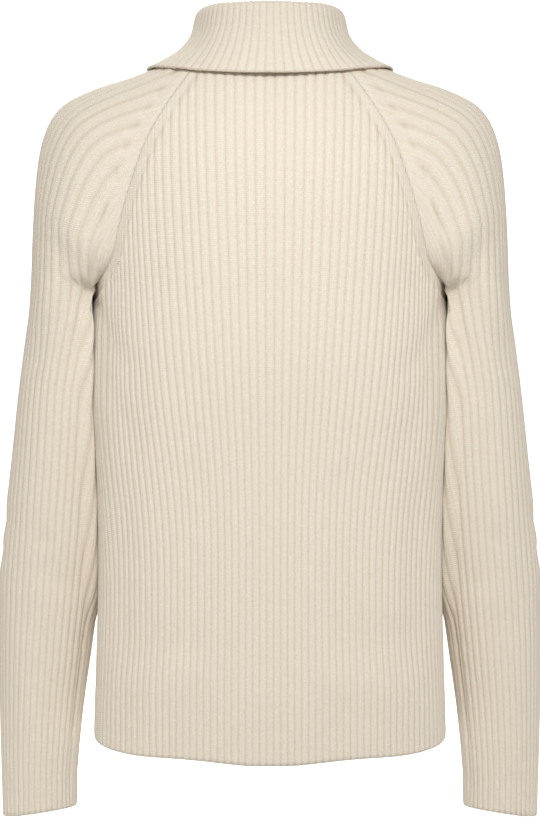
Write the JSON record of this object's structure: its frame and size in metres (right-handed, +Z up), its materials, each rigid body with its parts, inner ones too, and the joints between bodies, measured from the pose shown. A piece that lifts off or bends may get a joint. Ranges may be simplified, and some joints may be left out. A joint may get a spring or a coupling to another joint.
{
  "type": "half-zip sweater",
  "caption": "Long-sleeved rib-knit sweater with raglan sleeves, a folded-over wide collar and a half zip at the front, filled out as worn.",
  "frame": {"origin": "centre of the neck, level with the tops of the shoulders, where a wearer's shoulders hold the garment", "axes": "+Z up, -Y out of the front with the zip, +X to the wearer's left"},
  "size_m": [0.4838, 0.2336, 0.7157],
  "materials": {
    "knit": "matt cream rib knit with a soft nap",
    "tape": "matt woven zip tape",
    "metal": "satin pale metal"
  },
  "bodies": {
    "garment": {"back": "knit", "front": "knit", "sleeve_left": "knit", "sleeve_right": "knit", "collar": "knit", "zip_tape_left": "tape", "zip_tape_right": "tape", "zip_stop": "metal", "zip_slider": "metal"},
    "pull": {"zip_pull": "metal"}
  },
  "joints": [
    {"name": "zip_pull_swing", "type": "hinge", "parent": "garment", "child": "pull", "pos_m": [0, -0.11901, -0.1275], "axis": [-1, 0, 0], "range_deg": [0, 160]}
  ]
}
